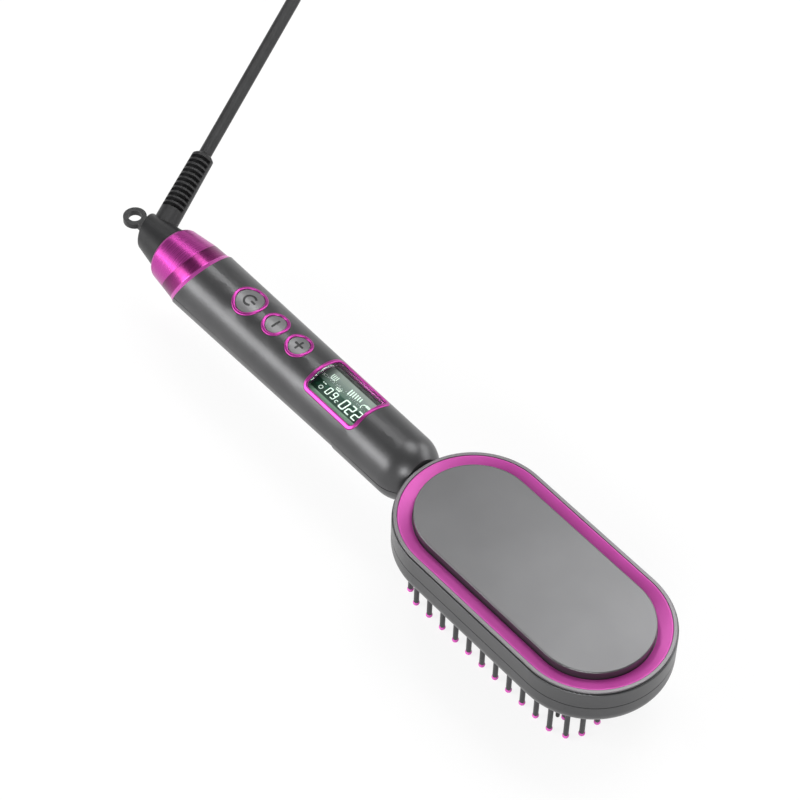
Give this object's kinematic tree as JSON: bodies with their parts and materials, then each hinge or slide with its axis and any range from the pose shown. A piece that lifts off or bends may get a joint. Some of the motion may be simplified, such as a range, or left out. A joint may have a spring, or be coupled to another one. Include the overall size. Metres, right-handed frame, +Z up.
{
  "type": "electric straightening comb",
  "caption": "Electric hair straightening comb with a racetrack head of heated teeth and ball-tipped bristles, a round handle with keys and a display, and a swivelling corded tail.",
  "frame": {"origin": "middle of the comb's length and width, without its cord, on the floor under the bristle tips", "axes": "+X along the handle towards the head's free end, +Z up from the bristle tips to the plate"},
  "size_m": [0.4993, 0.172, 0.0573],
  "materials": {
    "shell_grey": "satin",
    "trim_pink": "gloss",
    "plate_satin": "satin",
    "bristle_grey": "satin",
    "heater_alloy": "satin",
    "heater_ceramic": "matte",
    "screw_steel": "satin",
    "mica": "matte",
    "button_grey": "satin",
    "inner_black": "matte",
    "inner_white": "matte",
    "board_green": "satin",
    "lens_clear": "gloss",
    "lcd_dark": "gloss",
    "contact_brass": "satin",
    "wire_red": "satin",
    "tail_black": "satin",
    "cord_black": "satin",
    "pin_metal": "polished"
  },
  "bodies": {
    "comb": {"head_upper_shell": "shell_grey", "head_lower_shell": "shell_grey", "handle_upper_shell": "shell_grey", "handle_lower_shell": "shell_grey", "head_trim_ring": "trim_pink", "head_back_plate": "plate_satin", "bristle_base": "bristle_grey", "bristle_pins": "bristle_grey", "bristle_tips": "trim_pink", "heater_plate": "heater_alloy", "heating_teeth": "heater_alloy", "ptc_heaters": "heater_ceramic", "mica_sheet": "mica", "heater_clamp": "screw_steel", "clamp_screws": "screw_steel", "head_screws": "screw_steel", "handle_screws": "screw_steel", "board_screws": "screw_steel", "thermistor": "heater_ceramic", "thermal_fuse": "screw_steel", "power_ring": "trim_pink", "minus_ring": "trim_pink", "plus_ring": "trim_pink", "tact_switches": "inner_black", "display_bezel": "trim_pink", "display_lens": "lens_clear", "lcd_panel": "lcd_dark", "lcd_backlight": "inner_white", "control_board": "board_green", "control_chip": "inner_black", "filter_capacitor": "inner_black", "heater_triac": "inner_black", "heater_leads": "wire_red", "supply_leads": "wire_red", "tail_collar": "trim_pink", "contact_carrier": "inner_white", "contact_springs": "contact_brass"},
    "tail": {"tail_cap": "tail_black", "swivel_clip": "screw_steel", "slip_rings": "contact_brass", "strain_relief": "cord_black", "cord_lead": "cord_black", "cord_coil": "cord_black", "cord_tie": "tail_black", "plug_body": "cord_black", "plug_pins": "pin_metal"},
    "power_key": {"power_button": "button_grey", "power_plunger": "inner_black"},
    "minus_key": {"minus_button": "button_grey", "minus_plunger": "inner_black"},
    "plus_key": {"plus_button": "button_grey", "plus_plunger": "inner_black"}
  },
  "joints": [
    {"name": "power_press", "type": "slide", "parent": "comb", "child": "power_key", "axis": [0, 0, -1], "range_m": [0, 0.0004], "stiffness_N_per_m": 600},
    {"name": "minus_press", "type": "slide", "parent": "comb", "child": "minus_key", "axis": [0, 0, -1], "range_m": [0, 0.0004], "stiffness_N_per_m": 600},
    {"name": "plus_press", "type": "slide", "parent": "comb", "child": "plus_key", "axis": [0, 0, -1], "range_m": [0, 0.0004], "stiffness_N_per_m": 600},
    {"name": "tail_swivel", "type": "hinge", "parent": "comb", "child": "tail", "pos_m": [-0.12285, 0, 0.0294], "axis": [1, 0, 0], "continuous": true}
  ]
}
